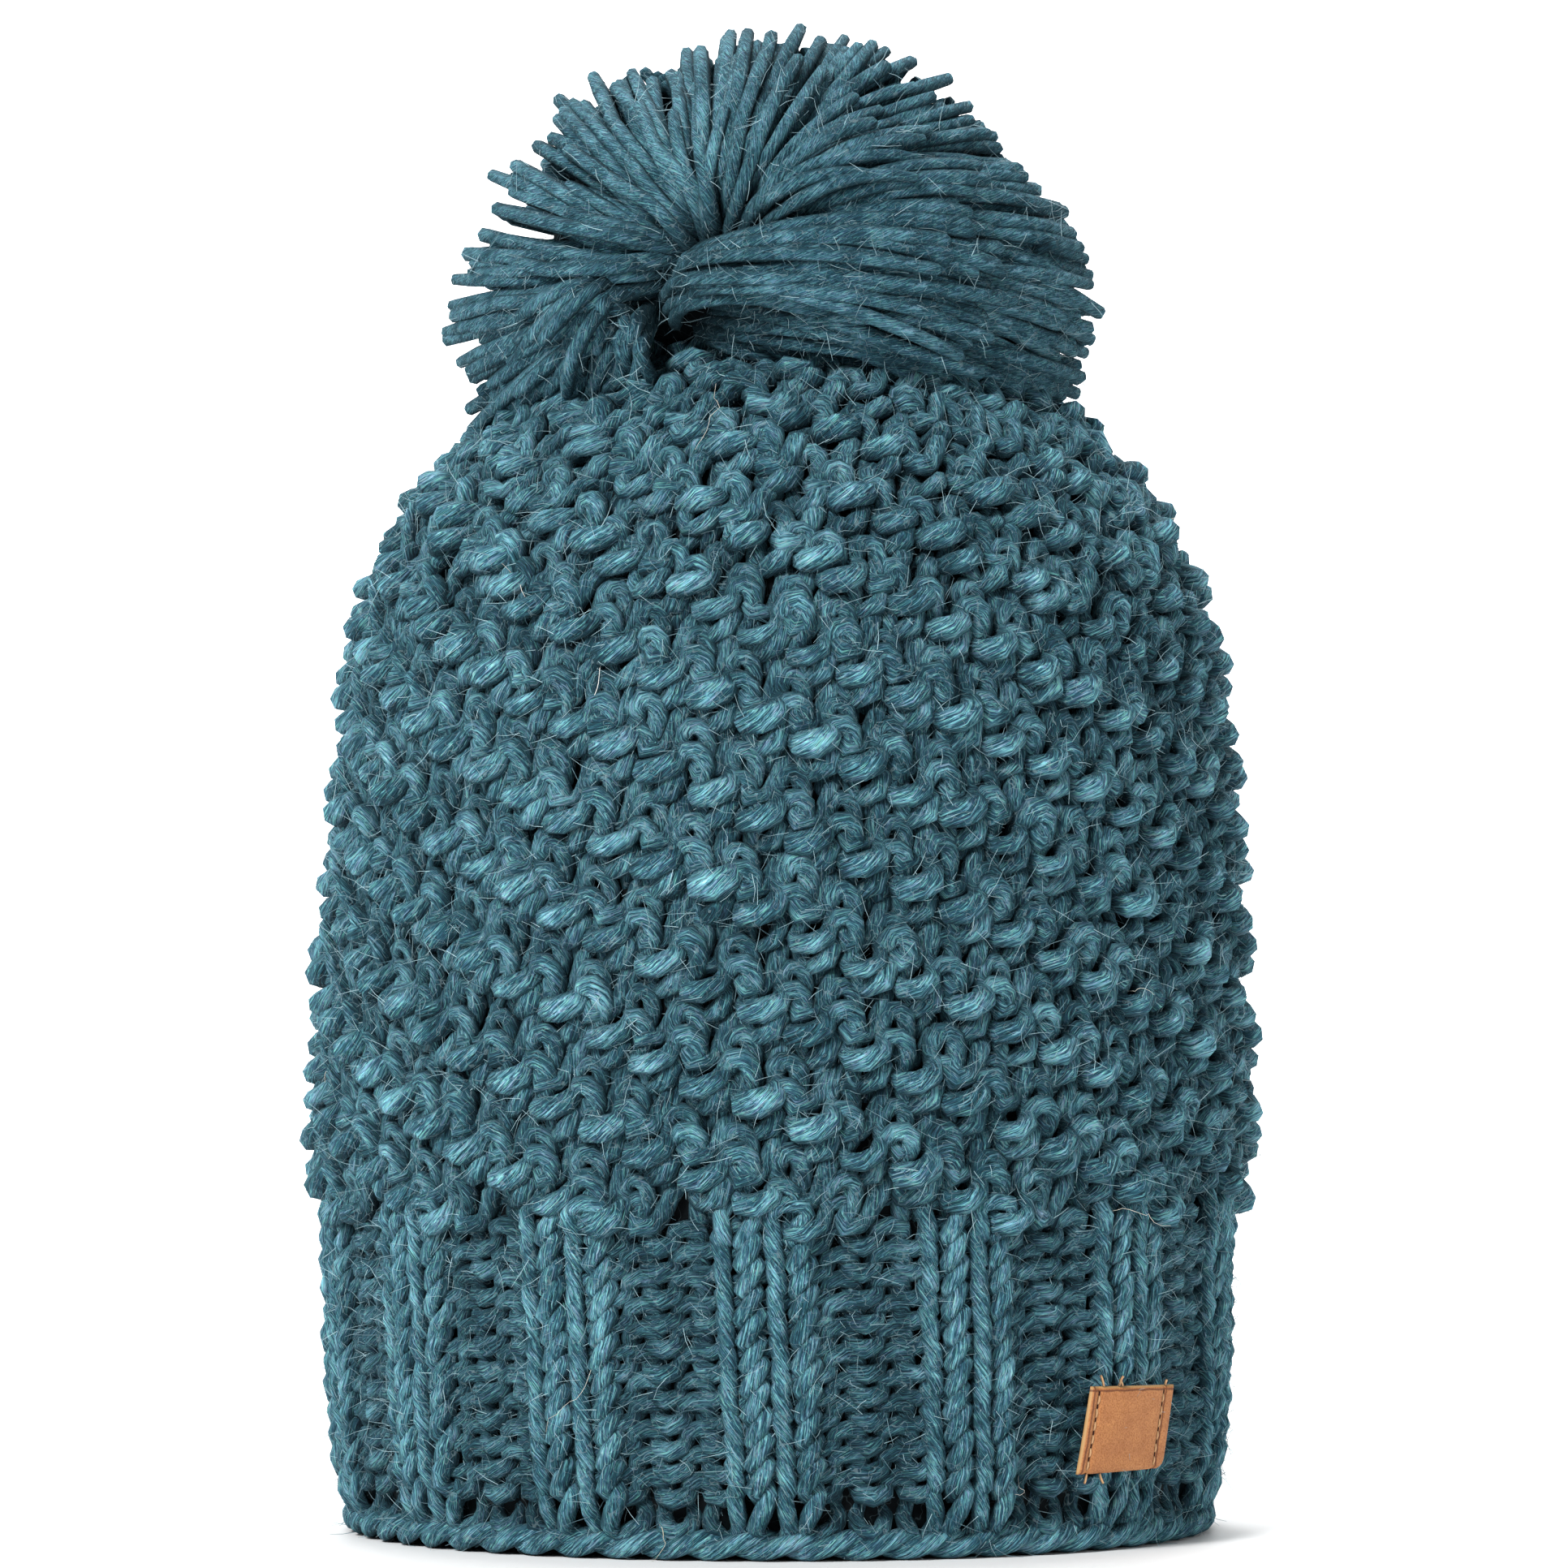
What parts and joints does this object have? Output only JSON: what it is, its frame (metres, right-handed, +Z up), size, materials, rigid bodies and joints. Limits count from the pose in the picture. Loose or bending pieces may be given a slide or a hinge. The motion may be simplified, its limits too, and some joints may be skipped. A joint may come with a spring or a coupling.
{
  "type": "wool hat",
  "caption": "Chunky knitted wool hat with a ribbed band, a diagonal-rib body, a large yarn pompom and a small leather label, standing open side down.",
  "frame": {"origin": "middle of the hem, on the surface that the hat stands on", "axes": "+Z up through the pompom, -Y is the front of the hat, +X is to the right seen from the front"},
  "size_m": [0.1913, 0.1914, 0.3059],
  "materials": {
    "wool": "petrol blue heathered bulky wool yarn, matt and slightly hairy",
    "pompom_wool": "petrol blue heathered wool yarn in cut strands",
    "leather": "tan leather with a fine grain, bare of any mark"
  },
  "bodies": {
    "root": {"cast_on_edge": "wool", "ribbed_band": "wool", "body": "wool", "crown": "wool", "pompom": "pompom_wool", "leather_label": "leather"}
  },
  "joints": []
}
